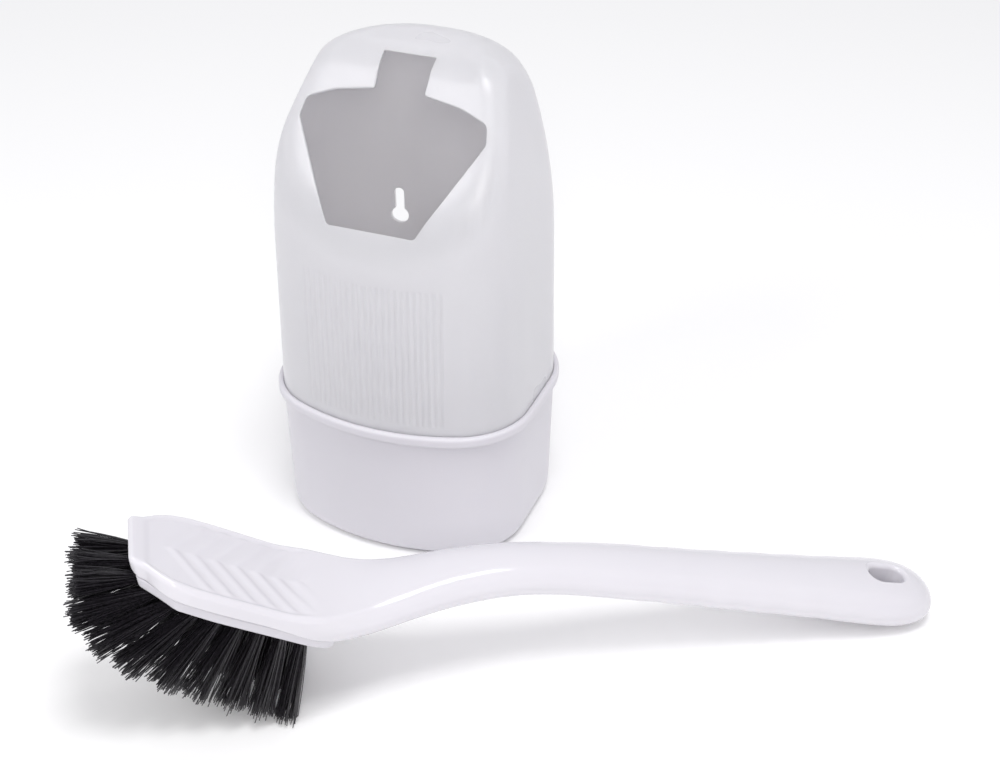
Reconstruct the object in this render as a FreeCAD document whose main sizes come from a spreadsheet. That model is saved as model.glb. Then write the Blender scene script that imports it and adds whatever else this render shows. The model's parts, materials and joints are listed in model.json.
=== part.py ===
import FreeCAD, Part
import math
import os
import Sketcher

# Toilet brush set: a drip cup, a hood that stands in the cup's rim, and the brush.
# Row frame: millimetres, +Z up, origin under the middle of the cup, the hood's mouth faces -Y.
# Brush frame: +X from the head's nose to the end of the handle, +Z up, the floor at z = 0.
# Head frame: the brush frame tipped about Y so that +X runs down the sloping top of the head.

V = FreeCAD.Vector
doc = FreeCAD.newDocument("toilet_brush_set")
sheet = doc.addObject("Spreadsheet::Sheet", "Sheet")

DIMENSIONS = {
    # Plan outline of the cup's rim; every other outline is this one moved inwards.
    "rim_half_width": 65.0,
    "rim_front_depth": 55.0,
    "rim_back_depth": 59.0,
    "rim_front_radius": 110.0,
    "rim_front_corner": 38.0,
    "rim_back_corner": 42.0,
    # Drip cup.
    "cup_height": 72.0,
    "cup_floor": 2.5,
    "cup_wall": 2.2,
    "cup_bottom_inset": 4.6,
    "cup_edge_radius": 7.5,
    "rim_step": 2.6,
    "rim_band": 4.5,
    "rim_flare": 3.0,
    "socket_wall": 2.3,
    "socket_depth": 5.5,
    # Hood.
    "hood_foot_gap": 0.2,
    "hood_height": 238.0,
    "hood_wall": 2.0,
    "hood_draft": 0.77,
    "arch_start": 146.5,
    "arch_half_width": 61.3,
    "arch_side_radius": 227.7,
    "arch_corner_radius": 16.0,
    "back_top_radius": 27.0,
    "slope_start": 167.7,
    "slope_angle": 53.8,
    "slope_edge_radius": 8.0,
    # Mouth in the sloping face: half widths, and heights up the slope from its foot.
    "mouth_low": 6.2,
    "mouth_low_half": 21.1,
    "mouth_wide": 52.5,
    "mouth_wide_half": 44.8,
    "mouth_top": 60.8,
    "mouth_top_half": 43.3,
    "notch_base": 69.2,
    "notch_base_half": 11.9,
    "notch_top": 87.3,
    "notch_top_half": 12.7,
    "mouth_cut_depth": 9.0,
    # Keyholes in the back wall.
    "keyhole_half_spacing": 30.8,
    "keyhole_height": 126.4,
    "keyhole_head_radius": 4.4,
    "keyhole_slot_radius": 2.4,
    "keyhole_slot_top": 141.6,
    # Brush: place on the floor, and the head.
    "brush_x": -45.7,
    "brush_y": -186.6,
    "brush_yaw": 32.0,
    "head_tip_height": 93.2,
    "head_pitch": 28.0,
    "head_length": 100.0,
    "head_tip_half": 15.6,
    "head_shoulder": 20.0,
    "head_shoulder_half": 24.6,
    "head_swell": 32.0,
    "head_max_half": 25.6,
    "head_rear_half": 22.6,
    "head_plate": 8.0,
    "block_length": 96.0,
    "block_thickness": 5.0,
    "block_inset": 0.6,
    "nose_back": 9.0,
    # Bristle tufts.
    "tuft_root_radius": 2.2,
    "tuft_hole_depth": 3.2,
    "tuft_first": 8.3,
    "tuft_pitch": 9.2,
    "tuft_row_offset": 16.5,
    "tuft_nose_narrowing": 6.5,
    "tuft_tip_radius": 4.1,
    "tuft_tip_flare": 1.6,
    "tuft_length": 43.3,
    "tuft_nose_shortening": 17.5,
    "tuft_nose_lean": 83.0,
    "tuft_heel_lean": 14.0,
    "tuft_side_lean": 6.0,
    "anchor_width": 5.2,
    "anchor_depth": 1.6,
    "anchor_thickness": 0.4,
    # Hanging hole near the end of the handle.
    "hang_hole_centre": 332.0,
    "hang_hole_half_length": 8.5,
    "hang_hole_radius": 5.5,
}

# Handle sections: distance from the nose, height of the centre, half width, half thickness, lean.
HANDLE_SECTIONS = [
    (58.0, 56.8, 21.5, 4.0, -28.0),
    (80.0, 47.6, 22.0, 7.6, -20.0),
    (103.0, 47.6, 20.0, 9.8, 5.0),
    (130.0, 51.6, 15.2, 10.0, 6.0),
    (160.0, 52.6, 13.2, 9.8, -4.0),
    (207.0, 44.2, 14.4, 10.0, -13.3),
    (264.0, 29.9, 16.0, 10.8, -13.3),
    (324.0, 14.6, 19.0, 12.0, -13.3),
    (343.0, 10.3, 16.6, 10.6, -13.3),
    (352.0, 8.3, 9.8, 6.6, -13.3),
    (355.0, 7.8, 2.6, 1.8, -13.3),
]
SECTION_VALUES = ("along", "height", "half_width", "half_thickness", "lean")

TUFTS_IN_A_ROW = 9
LEAN_POWER = 1.5
NARROWING_POWER = 6
SHORTENING_POWER = 8
# Two directions closer than this, as unit vectors, are the same direction.
SAME_DIRECTION = 1e-3


def fill_sheet():
    """Write every driving dimension to the sheet, one row each, with its alias."""
    rows = dict(DIMENSIONS)
    for number, section in enumerate(HANDLE_SECTIONS, start=1):
        for word, value in zip(SECTION_VALUES, section):
            rows[f"handle_{word}_{number}"] = value
    for row, (alias, value) in enumerate(rows.items(), start=1):
        sheet.set(f"A{row}", alias)
        sheet.set(f"B{row}", str(value))
        sheet.setAlias(f"B{row}", alias)
    doc.recompute()


def size(alias):
    """The number in a sheet cell."""
    return float(sheet.get(alias))


def bind(thing, **expressions):
    """Bind properties of an object to expressions of the sheet."""
    for name, expression in expressions.items():
        thing.setExpression(name, expression)
    return thing


def add(kind, name, **values):
    """Add an object to the document and set its plain properties."""
    thing = doc.addObject(kind, name)
    for key, value in values.items():
        setattr(thing, key, value)
    return thing


def cut(name, base, tool):
    return add("Part::Cut", name, Base=base, Tool=tool)


def fuse(name, shapes):
    return add("Part::MultiFuse", name, Shapes=shapes)


def common(name, shapes):
    return add("Part::MultiCommon", name, Shapes=shapes)


def name_constraints(sketch, names):
    """Name constraints so that expressions can reach them, and bind each one."""
    for index, (name, expression) in names.items():
        sketch.renameConstraint(index, name)
        sketch.setExpression(f"Constraints.{name}", expression)


def plan_outline(name, inset, height):
    """Closed plan outline, the rim's outline moved inwards by inset, at a height.

    A wide front arc, two front corner arcs, straight sides, two back corner arcs
    and a flat back, all tangent to each other.
    """
    sketch = add("Sketcher::SketchObject", name)
    half = size("rim_half_width")
    front = size("rim_front_radius")
    corner = size("rim_front_corner")
    back_corner = size("rim_back_corner")
    centre_y = front - size("rim_front_depth")
    corner_x = half - corner
    corner_y = centre_y - math.sqrt((front - corner) ** 2 - corner_x**2)
    back_x = half - back_corner
    back_y = size("rim_back_depth") - back_corner
    swing = math.atan2(corner_x, centre_y - corner_y)
    down = -math.pi / 2
    up = V(0, 0, 1)

    def arc(x, y, radius, start, end):
        circle = Part.Circle(V(x, y, 0), up, radius)
        return Part.ArcOfCircle(circle, start, end)

    def line(x1, y1, x2, y2):
        return Part.LineSegment(V(x1, y1, 0), V(x2, y2, 0))

    sketch.addGeometry(
        [
            arc(0, centre_y, front, down - swing, down + swing),
            arc(corner_x, corner_y, corner, down + swing, 0),
            line(half, corner_y, half, back_y),
            arc(back_x, back_y, back_corner, 0, math.pi / 2),
            line(back_x, half, -back_x, half),
            arc(-back_x, back_y, back_corner, math.pi / 2, math.pi),
            line(-half, back_y, -half, corner_y),
            arc(-corner_x, corner_y, corner, math.pi, 3 * math.pi / 2 - swing),
        ]
    )
    constraint = Sketcher.Constraint
    joins = [constraint("Tangent", i, 2, (i + 1) % 8, 1) for i in range(8)]
    sketch.addConstraint(
        joins
        + [
            constraint("Vertical", 2),
            constraint("Vertical", 6),
            constraint("Horizontal", 4),
            constraint("Equal", 1, 7),
            constraint("Equal", 3, 5),
            constraint("PointOnObject", 0, 3, -2),
            constraint("Radius", 0, front),
            constraint("Radius", 1, corner),
            constraint("Radius", 3, back_corner),
            constraint("DistanceY", -1, 1, 0, 3, centre_y),
            constraint("DistanceX", -1, 1, 2, 1, half),
            constraint("DistanceX", 6, 1, -1, 1, half),
            constraint("DistanceY", -1, 1, 4, 1, size("rim_back_depth")),
        ]
    )
    name_constraints(
        sketch,
        {
            14: ("front_radius", f"Sheet.rim_front_radius - ({inset})"),
            15: ("front_corner", f"Sheet.rim_front_corner - ({inset})"),
            16: ("back_corner", f"Sheet.rim_back_corner - ({inset})"),
            17: ("front_centre", "Sheet.rim_front_radius - Sheet.rim_front_depth"),
            18: ("right_side", f"Sheet.rim_half_width - ({inset})"),
            19: ("left_side", f"Sheet.rim_half_width - ({inset})"),
            20: ("back_side", f"Sheet.rim_back_depth - ({inset})"),
        },
    )
    sketch.setExpression("Placement.Base.z", height)
    return sketch


def plan_loft(name, levels):
    """Ruled solid through plan outlines, given as (inset, height) expressions."""
    outlines = [
        plan_outline(f"{name}_outline_{number}", inset, height)
        for number, (inset, height) in enumerate(levels, start=1)
    ]
    return add("Part::Loft", name, Sections=outlines, Solid=True, Ruled=True)


def make_base_cup():
    """Drip cup: drafted walls that flare into a rim, with a socket for the hood's foot."""
    outer = plan_loft(
        "cup_outer",
        [
            ("Sheet.cup_bottom_inset", "0"),
            ("Sheet.rim_step", "Sheet.cup_height - Sheet.rim_band - Sheet.rim_flare"),
            ("0", "Sheet.cup_height - Sheet.rim_band"),
            ("0", "Sheet.cup_height"),
        ],
    )
    doc.recompute()
    rounded = add("Part::Fillet", "cup_rounded", Base=outer)
    radius = size("cup_edge_radius")
    low = [
        (number, radius, radius)
        for number, edge in enumerate(outer.Shape.Edges, start=1)
        if edge.BoundBox.ZMax < 1e-3
    ]
    rounded.Edges = low
    inside = plan_loft(
        "cup_inside",
        [
            ("Sheet.cup_bottom_inset + Sheet.cup_wall", "Sheet.cup_floor"),
            ("Sheet.rim_step + Sheet.cup_wall", "Sheet.cup_height + 1"),
        ],
    )
    socket = plan_loft(
        "cup_socket",
        [
            ("Sheet.socket_wall", "Sheet.cup_height - Sheet.socket_depth"),
            ("Sheet.socket_wall", "Sheet.cup_height + 1"),
        ],
    )
    hollow = fuse("cup_hollow", [inside, socket])
    return cut("base_cup", rounded, hollow)


def evaluate(expression):
    """The number that an expression of the sheet gives, in millimetres or degrees."""
    value = sheet.evalExpression(expression)
    return float(getattr(value, "Value", value))


def outline_sketch(name, corners):
    """Closed outline whose corners are expressions, listed counterclockwise.

    A corner is (x, y), or (x, y, radius) where a convex arc of that radius leads to
    the next corner. Every corner is held by its two distances from the origin.
    """
    sketch = add("Sketcher::SketchObject", name)
    points = [V(evaluate(corner[0]), evaluate(corner[1]), 0) for corner in corners]
    count = len(corners)
    radii = {}
    for index, corner in enumerate(corners):
        start = points[index]
        end = points[(index + 1) % count]
        if len(corner) == 2:
            sketch.addGeometry(Part.LineSegment(start, end))
            continue
        radius = evaluate(corner[2])
        chord = end - start
        across = V(-chord.y, chord.x, 0).normalize()
        reach = math.sqrt(radius**2 - (chord.Length / 2) ** 2)
        centre = (start + end) * 0.5 + across * reach
        first = math.atan2(start.y - centre.y, start.x - centre.x)
        last = math.atan2(end.y - centre.y, end.x - centre.x)
        circle = Part.Circle(centre, V(0, 0, 1), radius)
        sketch.addGeometry(Part.ArcOfCircle(circle, first, last))
        radii[index] = corner[2]
    for index in range(count):
        sketch.addConstraint(Sketcher.Constraint("Coincident", index, 2, (index + 1) % count, 1))
    names = {}
    for index, point in enumerate(points):
        x_place = sketch.addConstraint(Sketcher.Constraint("DistanceX", -1, 1, index, 1, point.x))
        y_place = sketch.addConstraint(Sketcher.Constraint("DistanceY", -1, 1, index, 1, point.y))
        names[x_place] = (f"corner_{index + 1}_x", corners[index][0])
        names[y_place] = (f"corner_{index + 1}_y", corners[index][1])
    for index, radius in radii.items():
        held = sketch.addConstraint(Sketcher.Constraint("Radius", index, evaluate(radius)))
        names[held] = (f"arc_{index + 1}", radius)
    name_constraints(sketch, names)
    return sketch


def mirrored(corners):
    """The same outline with its left half added; corners run up the right-hand side."""
    left = [("-(" + corner[0] + ")", *corner[1:]) for corner in reversed(corners)]
    radii = [corner[2:] for corner in corners]
    turned = []
    for number, corner in enumerate(left):
        source = len(corners) - 2 - number
        radius = radii[source] if source >= 0 else ()
        turned.append((corner[0], corner[1], *radius))
    return corners + turned


def extrude(name, sketch, length, symmetric=True, backwards=False):
    """Solid from a closed sketch along its normal."""
    solid = add("Part::Extrusion", name, Base=sketch, Solid=True, Symmetric=symmetric)
    solid.DirMode = "Normal"
    solid.Reversed = backwards
    solid.setExpression("LengthFwd", length)
    return solid


FACING_FRONT = FreeCAD.Rotation(V(1, 0, 0), 90)
FACING_SIDE = FreeCAD.Rotation(V(1, 1, 1), 120)
FOOT = "(Sheet.cup_height - Sheet.socket_depth + Sheet.hood_foot_gap)"
DRAFT = "tan(Sheet.hood_draft)"
FRONT_WALL = (
    f"-(Sheet.rim_front_depth - Sheet.rim_step - (Sheet.slope_start - {FOOT}) * {DRAFT})"
)


def wall_inset(wall, height):
    """Inset of the hood's drafted wall from the rim outline at a height."""
    return f"Sheet.rim_step + {wall} + ({height} - {FOOT}) * {DRAFT}"


def arch_profile(name, wall):
    """Front view of the hood: straight sides, long side arcs, corner arcs, flat top."""
    radius = "Sheet.arch_corner_radius"
    rise = f"(Sheet.hood_height - Sheet.arch_start - {radius})"
    turn = f"asin({rise} / (Sheet.arch_side_radius - {radius}))"
    side = f"(Sheet.arch_half_width - {wall})"
    side_arc = f"(Sheet.arch_side_radius - {wall})"
    corner_arc = f"({radius} - {wall})"
    joint_x = f"({side} - {side_arc} * (1 - cos({turn})))"
    joint_z = f"(Sheet.arch_start + {side_arc} * sin({turn}))"
    corners = [
        (side, "0"),
        (side, "Sheet.arch_start", side_arc),
        (joint_x, joint_z, corner_arc),
        (f"{joint_x} - {corner_arc} * cos({turn})", f"Sheet.hood_height - {wall}"),
    ]
    sketch = outline_sketch(name, mirrored(corners))
    sketch.Placement = FreeCAD.Placement(V(), FACING_FRONT)
    return sketch


def side_profile(name, wall):
    """Side view of the hood: sloping front, flat top, rounded back edge of the top."""
    reach = "(2 * Sheet.rim_half_width)"
    tilt = "tan(Sheet.slope_angle)"
    top = f"(Sheet.hood_height - {wall})"
    start = f"(Sheet.slope_start - {wall} / cos(Sheet.slope_angle))"
    back = "Sheet.hood_height - Sheet.back_top_radius"
    back_y = f"(Sheet.rim_back_depth - ({wall_inset(wall, '(' + back + ')')}))"
    arc = f"(Sheet.back_top_radius - {wall})"
    corners = [
        (f"-{reach}", "0"),
        (reach, "0"),
        (reach, back),
        (back_y, back, arc),
        (f"{back_y} - {arc}", top),
        (f"{FRONT_WALL} + ({top} - {start}) / {tilt}", top),
        (f"-{reach}", f"{start} - ({reach} + {FRONT_WALL}) * {tilt}"),
    ]
    sketch = outline_sketch(name, corners)
    sketch.Placement = FreeCAD.Placement(V(), FACING_SIDE)
    return sketch


def hood_form(name, wall, edge_radius, below):
    """The hood's outer form moved inwards by wall, with the slope's edges rounded."""
    foot = f"{FOOT} - {below}"
    walls = plan_loft(
        f"{name}_walls",
        [
            (wall_inset(wall, f"({foot})"), foot),
            (wall_inset(wall, "Sheet.hood_height"), "Sheet.hood_height"),
        ],
    )
    width = "4 * Sheet.rim_half_width"
    arch = extrude(f"{name}_arch", arch_profile(f"{name}_arch_outline", wall), width)
    side = extrude(f"{name}_side", side_profile(f"{name}_side_outline", wall), width)
    form = common(f"{name}_form", [walls, arch, side])
    doc.recompute()
    lean = math.radians(size("slope_angle"))
    outwards = V(0, -math.sin(lean), math.cos(lean))
    edges = []
    for face in form.Shape.Faces:
        if (face.normalAt(0, 0) - outwards).Length < SAME_DIRECTION:
            edges = [edge.hashCode() for edge in face.OuterWire.Edges]
    rounded = add("Part::Fillet", f"{name}_rounded", Base=form)
    rounded.Edges = [
        (number, edge_radius, edge_radius)
        for number, edge in enumerate(form.Shape.Edges, start=1)
        if edge.hashCode() in edges
    ]
    return rounded


def mouth_tool():
    """Cutter for the mouth: a wide trapezium with a notch for the handle at its top."""
    half = [
        ("Sheet.mouth_low_half", "Sheet.mouth_low"),
        ("Sheet.mouth_wide_half", "Sheet.mouth_wide"),
        ("Sheet.mouth_top_half", "Sheet.mouth_top"),
        ("Sheet.notch_base_half", "Sheet.notch_base"),
        ("Sheet.notch_top_half", "Sheet.notch_top"),
    ]
    sketch = outline_sketch("mouth_outline", mirrored(half))
    sketch.Placement.Rotation = FreeCAD.Rotation(V(1, 0, 0), size("slope_angle"))
    bind(sketch, **{"Placement.Base.y": FRONT_WALL, "Placement.Base.z": "Sheet.slope_start"})
    return extrude("mouth_cutter", sketch, "2 * Sheet.mouth_cut_depth")


def keyhole_tool(name, side):
    """Cutter for one keyhole: a round head with a narrow slot above it."""
    place = f"{side} * Sheet.keyhole_half_spacing"
    depth = "Sheet.rim_back_depth"
    head = add("Part::Cylinder", f"{name}_head")
    top = add("Part::Cylinder", f"{name}_top")
    slot = add("Part::Box", f"{name}_slot")
    low = "Sheet.keyhole_height"
    high = "Sheet.keyhole_slot_top - Sheet.keyhole_slot_radius"
    for round_end, radius, height in (
        (head, "Sheet.keyhole_head_radius", low),
        (top, "Sheet.keyhole_slot_radius", high),
    ):
        round_end.Placement.Rotation = FreeCAD.Rotation(V(1, 0, 0), -90)
        bind(round_end, Radius=radius, Height=depth)
        bind(round_end, **{"Placement.Base.x": place, "Placement.Base.z": height})
    bind(slot, Width=depth, Height=f"{high} - {low}", Length="2 * Sheet.keyhole_slot_radius")
    bind(slot, **{"Placement.Base.x": f"{place} - Sheet.keyhole_slot_radius"})
    bind(slot, **{"Placement.Base.z": low})
    return fuse(name, [head, slot, top])


def make_hood():
    """Hood: a drafted, arched shell, open below, with the mouth and two keyholes."""
    outside = hood_form("hood_outer", "0", size("slope_edge_radius"), "0")
    inner_radius = size("slope_edge_radius") - size("hood_wall")
    inside = hood_form("hood_inner", "Sheet.hood_wall", inner_radius, "1")
    shell = cut("hood_shell", outside, inside)
    openings = [mouth_tool(), keyhole_tool("left_keyhole", -1), keyhole_tool("right_keyhole", 1)]
    return cut("hood", shell, fuse("hood_openings", openings))


def brush_placement():
    """Where the brush lies on the floor, turned about the vertical."""
    corner = V(size("brush_x"), size("brush_y"), 0)
    return FreeCAD.Placement(corner, FreeCAD.Rotation(V(0, 0, 1), size("brush_yaw")))


def head_placement():
    """The head frame within the brush frame."""
    tip = V(0, 0, size("head_tip_height"))
    return FreeCAD.Placement(tip, FreeCAD.Rotation(V(0, 1, 0), size("head_pitch")))


def head_outline(name, inset, length):
    """Plan outline of the head: chamfered nose, swelling sides, rounded heel."""
    corners = [
        (length, f"-(Sheet.head_rear_half - {inset})"),
        (length, f"Sheet.head_rear_half - {inset}"),
        ("Sheet.head_swell", f"Sheet.head_max_half - {inset}"),
        ("Sheet.head_shoulder", f"Sheet.head_shoulder_half - {inset}"),
        ("0", f"Sheet.head_tip_half - {inset}"),
        ("0", f"-(Sheet.head_tip_half - {inset})"),
        ("Sheet.head_shoulder", f"-(Sheet.head_shoulder_half - {inset})"),
        ("Sheet.head_swell", f"-(Sheet.head_max_half - {inset})"),
    ]
    return outline_sketch(name, corners)


def nose_form(name):
    """Side view of the head: flat top, flat bottom and a nose that slants back."""
    depth = "(Sheet.head_plate + Sheet.block_thickness)"
    corners = [
        ("Sheet.nose_back", f"-{depth}"),
        ("2 * Sheet.head_length", f"-{depth}"),
        ("2 * Sheet.head_length", "0"),
        ("0", "0"),
    ]
    sketch = outline_sketch(name, corners)
    sketch.Placement = head_placement().multiply(FreeCAD.Placement(V(), FACING_FRONT))
    return extrude(f"{name}_solid", sketch, "4 * Sheet.head_max_half")


def handle_loft():
    """Handle: oval sections from inside the head, over the neck, to the rounded end."""
    ovals = []
    for number in range(1, len(HANDLE_SECTIONS) + 1):
        oval = add("Part::Ellipse", f"handle_oval_{number}")
        along = V(math.cos(math.radians(size(f"handle_lean_{number}"))), 0, 0)
        along.z = math.sin(math.radians(size(f"handle_lean_{number}")))
        oval.Placement.Rotation = FreeCAD.Rotation(V(0, 1, 0), V(), along, "ZXY")
        bind(
            oval,
            MajorRadius=f"Sheet.handle_half_width_{number}",
            MinorRadius=f"Sheet.handle_half_thickness_{number}",
        )
        bind(
            oval,
            **{
                "Placement.Base.x": f"Sheet.handle_along_{number}",
                "Placement.Base.z": f"Sheet.handle_height_{number}",
            },
        )
        ovals.append(oval)
    return add("Part::Loft", "handle_loft", Sections=ovals, Solid=True, Ruled=False)


def hang_hole_tool():
    """Cutter for the oval hanging hole: two round ends and a straight middle."""
    shift = "(Sheet.hang_hole_half_length - Sheet.hang_hole_radius)"
    ends = []
    for name, side in (("hole_front_end", -1), ("hole_rear_end", 1)):
        end = add("Part::Cylinder", name)
        bind(end, Radius="Sheet.hang_hole_radius", Height="Sheet.head_tip_height")
        bind(end, **{"Placement.Base.x": f"Sheet.hang_hole_centre + {side} * {shift}"})
        bind(end, **{"Placement.Base.z": "-Sheet.head_tip_height / 2"})
        ends.append(end)
    middle = add("Part::Box", "hole_middle")
    bind(middle, Width="2 * Sheet.hang_hole_radius", Height="Sheet.head_tip_height")
    bind(middle, Length=f"2 * {shift}")
    bind(middle, **{"Placement.Base.x": f"Sheet.hang_hole_centre - {shift}"})
    bind(middle, **{"Placement.Base.y": "-Sheet.hang_hole_radius"})
    bind(middle, **{"Placement.Base.z": "-Sheet.head_tip_height / 2"})
    return fuse("hang_hole", ends + [middle])


def make_handle():
    """Handle and upper part of the head in one moulding, with a seat for the block."""
    outline = head_outline("plate_outline", "0", "Sheet.head_length")
    outline.Placement = head_placement()
    slab = extrude("plate_slab", outline, "Sheet.head_plate", False, True)
    plate = common("head_plate", [slab, nose_form("plate_nose")])
    whole = fuse("handle_whole", [plate, handle_loft()])
    seat_outline = head_outline("seat_outline", "Sheet.block_inset", "Sheet.block_length")
    seat_outline.Placement = head_placement()
    seat_outline.Placement.Base = head_placement().multVec(V(0, 0, -size("head_plate")))
    seat = extrude("block_seat", seat_outline, "3 * Sheet.block_thickness", False, True)
    handle = cut("brush_handle", whole, fuse("handle_cutters", [seat, hang_hole_tool()]))
    handle.Placement = brush_placement()
    return handle


def tuft_frames():
    """Name, column, free length and placement in the brush frame of every tuft, row by row.

    The nose tufts lean furthest, stand closest together and are the shortest: each of these
    grows towards the nose by its own power of the distance from the heel.
    """
    frames = []
    last = TUFTS_IN_A_ROW - 1
    for row, side in (("left", -1), ("middle", 0), ("right", 1)):
        for column in range(TUFTS_IN_A_ROW):
            towards_nose = 1 - column / last
            lean = size("tuft_nose_lean") * towards_nose**LEAN_POWER - size("tuft_heel_lean")
            spread = side * size("tuft_side_lean")
            along = size("tuft_first") + size("tuft_pitch") * column
            across = size("tuft_row_offset") - size("tuft_nose_narrowing") * towards_nose**NARROWING_POWER
            depth = size("head_plate") + size("block_thickness")
            face = -depth * min(1, along / size("nose_back"))
            length = size("tuft_length") - size("tuft_nose_shortening") * towards_nose**SHORTENING_POWER
            turn = FreeCAD.Rotation(V(0, 1, 0), 180 + lean)
            turn = turn.multiply(FreeCAD.Rotation(V(1, 0, 0), -spread))
            root = V(along, side * across, face) - turn.multVec(V(0, 0, size("tuft_hole_depth")))
            place = head_placement().multiply(FreeCAD.Placement(root, turn))
            frames.append((f"tuft_{row}_{column + 1}", column, length, place))
    return frames


def make_tufts():
    """Bristle tufts as flared cones, and the flat anchor strips folded into their roots."""
    tufts = []
    cones = []
    anchors = []
    for name, column, length, place in tuft_frames():
        flare = 1 - column / (TUFTS_IN_A_ROW - 1)
        cone = add("Part::Cone", f"{name}_bundle", Placement=place)
        bind(
            cone,
            Radius1="Sheet.tuft_root_radius",
            Radius2=f"Sheet.tuft_tip_radius + Sheet.tuft_tip_flare * {flare}",
            Height=f"Sheet.tuft_hole_depth + {length}",
        )
        anchor = add("Part::Box", f"{name}_anchor")
        corner = V(-size("anchor_thickness") / 2, -size("anchor_width") / 2, 0)
        anchor.Placement = place.multiply(FreeCAD.Placement(corner, FreeCAD.Rotation()))
        bind(
            anchor,
            Length="Sheet.anchor_thickness",
            Width="Sheet.anchor_width",
            Height="Sheet.anchor_depth",
        )
        tuft = cut(name, cone, anchor)
        tuft.Placement = brush_placement()
        tufts.append(tuft)
        cones.append(cone)
        anchors.append(anchor)
    strips = add("Part::Compound", "tuft_anchors", Links=anchors)
    strips.Placement = brush_placement()
    return tufts, cones, strips, anchors


def make_block(cones, anchors):
    """Bristle block: the lower layer of the head, drilled for the tufts."""
    outline = head_outline("block_outline", "Sheet.block_inset", "Sheet.block_length")
    outline.Placement = head_placement()
    outline.Placement.Base = head_placement().multVec(V(0, 0, -size("head_plate")))
    slab = extrude("block_slab", outline, "Sheet.block_thickness", False, True)
    blank = common("block_blank", [slab, nose_form("block_nose")])
    holes = fuse("block_holes", cones + anchors)
    block = cut("bristle_block", blank, holes)
    block.Placement = brush_placement()
    return block


fill_sheet()
tufts, cones, strips, anchors = make_tufts()
sub_parts = [make_base_cup(), make_hood(), make_handle(), make_block(cones, anchors)]
sub_parts += [strips] + tufts
doc.recompute()

for thing in doc.Objects:
    if "Invalid" in thing.State or "Error" in thing.State:
        raise RuntimeError(f"{thing.Name} failed: {thing.State}")
os.makedirs("parts", exist_ok=True)
for part in sub_parts:
    if part.Shape.isNull() or not part.Shape.isValid():
        raise RuntimeError(f"{part.Name} has no valid shape")
    part.Label = part.Name
for part in sub_parts:
    part.Shape.exportStep(f"parts/{part.Label}.step")
    box = part.Shape.BoundBox
    spans = f"x {box.XMin:.1f} {box.XMax:.1f}  y {box.YMin:.1f} {box.YMax:.1f}"
    print(f"{part.Label}: {part.Shape.Volume:.0f} mm3  {spans}  z {box.ZMin:.2f} {box.ZMax:.2f}")
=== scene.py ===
# %% [markdown]
# # A toilet brush set in white polypropylene
# The object is three loose things: a drip cup, a hood that stands in the cup's rim, and a brush
# that lies on the floor in front of them. Each was injection moulded, so every visible form is a
# thin or solid shell with draft, soft edges and a few shallow reliefs. The CAD model is loaded
# first, as a frame that fixes every size and place. Everything below only dresses that frame.

# %% Load the frame
import json
import math

import bpy
import numpy as np
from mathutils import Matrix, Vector

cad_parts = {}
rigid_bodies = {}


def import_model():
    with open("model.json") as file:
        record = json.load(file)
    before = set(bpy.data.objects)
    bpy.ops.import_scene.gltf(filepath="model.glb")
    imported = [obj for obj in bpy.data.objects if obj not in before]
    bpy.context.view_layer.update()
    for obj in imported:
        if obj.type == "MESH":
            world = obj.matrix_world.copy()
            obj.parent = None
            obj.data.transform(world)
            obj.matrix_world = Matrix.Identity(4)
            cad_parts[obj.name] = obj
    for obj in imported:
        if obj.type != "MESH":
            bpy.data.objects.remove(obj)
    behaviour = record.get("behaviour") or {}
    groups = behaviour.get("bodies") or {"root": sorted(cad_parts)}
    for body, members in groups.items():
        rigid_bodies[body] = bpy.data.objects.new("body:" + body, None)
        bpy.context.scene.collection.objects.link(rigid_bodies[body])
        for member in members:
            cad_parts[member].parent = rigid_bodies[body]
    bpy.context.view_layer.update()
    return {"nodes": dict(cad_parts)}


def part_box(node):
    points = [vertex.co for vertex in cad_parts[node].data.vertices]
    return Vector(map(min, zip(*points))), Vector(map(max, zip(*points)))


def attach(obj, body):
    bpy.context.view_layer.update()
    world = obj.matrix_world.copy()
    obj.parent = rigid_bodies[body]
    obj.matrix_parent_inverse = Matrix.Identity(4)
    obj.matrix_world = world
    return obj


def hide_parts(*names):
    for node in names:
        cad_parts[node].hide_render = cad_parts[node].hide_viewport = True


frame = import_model()
MM = 0.001

# %% [markdown]
# ## The driving sizes
# Blender works in metres, but a moulder thinks in millimetres, so all the sizes here are in
# millimetres and are scaled once, when a mesh is made. The outer sizes are read from the CAD
# boxes. The rest are the mould's own radii, insets and angles.

# %% Sizes read from the frame
cup_low, cup_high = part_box("base_cup")
hood_low, hood_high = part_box("hood")
RIM_HALF = round(cup_high.x / MM, 1)
RIM_FRONT = round(-cup_low.y / MM, 1)
RIM_BACK = round(cup_high.y / MM, 1)
CUP_TOP = round(cup_high.z / MM, 1)
HOOD_FOOT = round(hood_low.z / MM, 1)
HOOD_TOP = round(hood_high.z / MM, 1)
print("rim", 2 * RIM_HALF, "by", RIM_FRONT + RIM_BACK, "mm, hood", HOOD_FOOT, "to", HOOD_TOP)

# %% [markdown]
# ## A camera at eye level for a table top
# The view looks down at the set from the front right. A long lens keeps the hood's sides nearly
# parallel, as in a product picture. The camera is made before the pieces so that each one can be
# judged in the right view.

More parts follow.
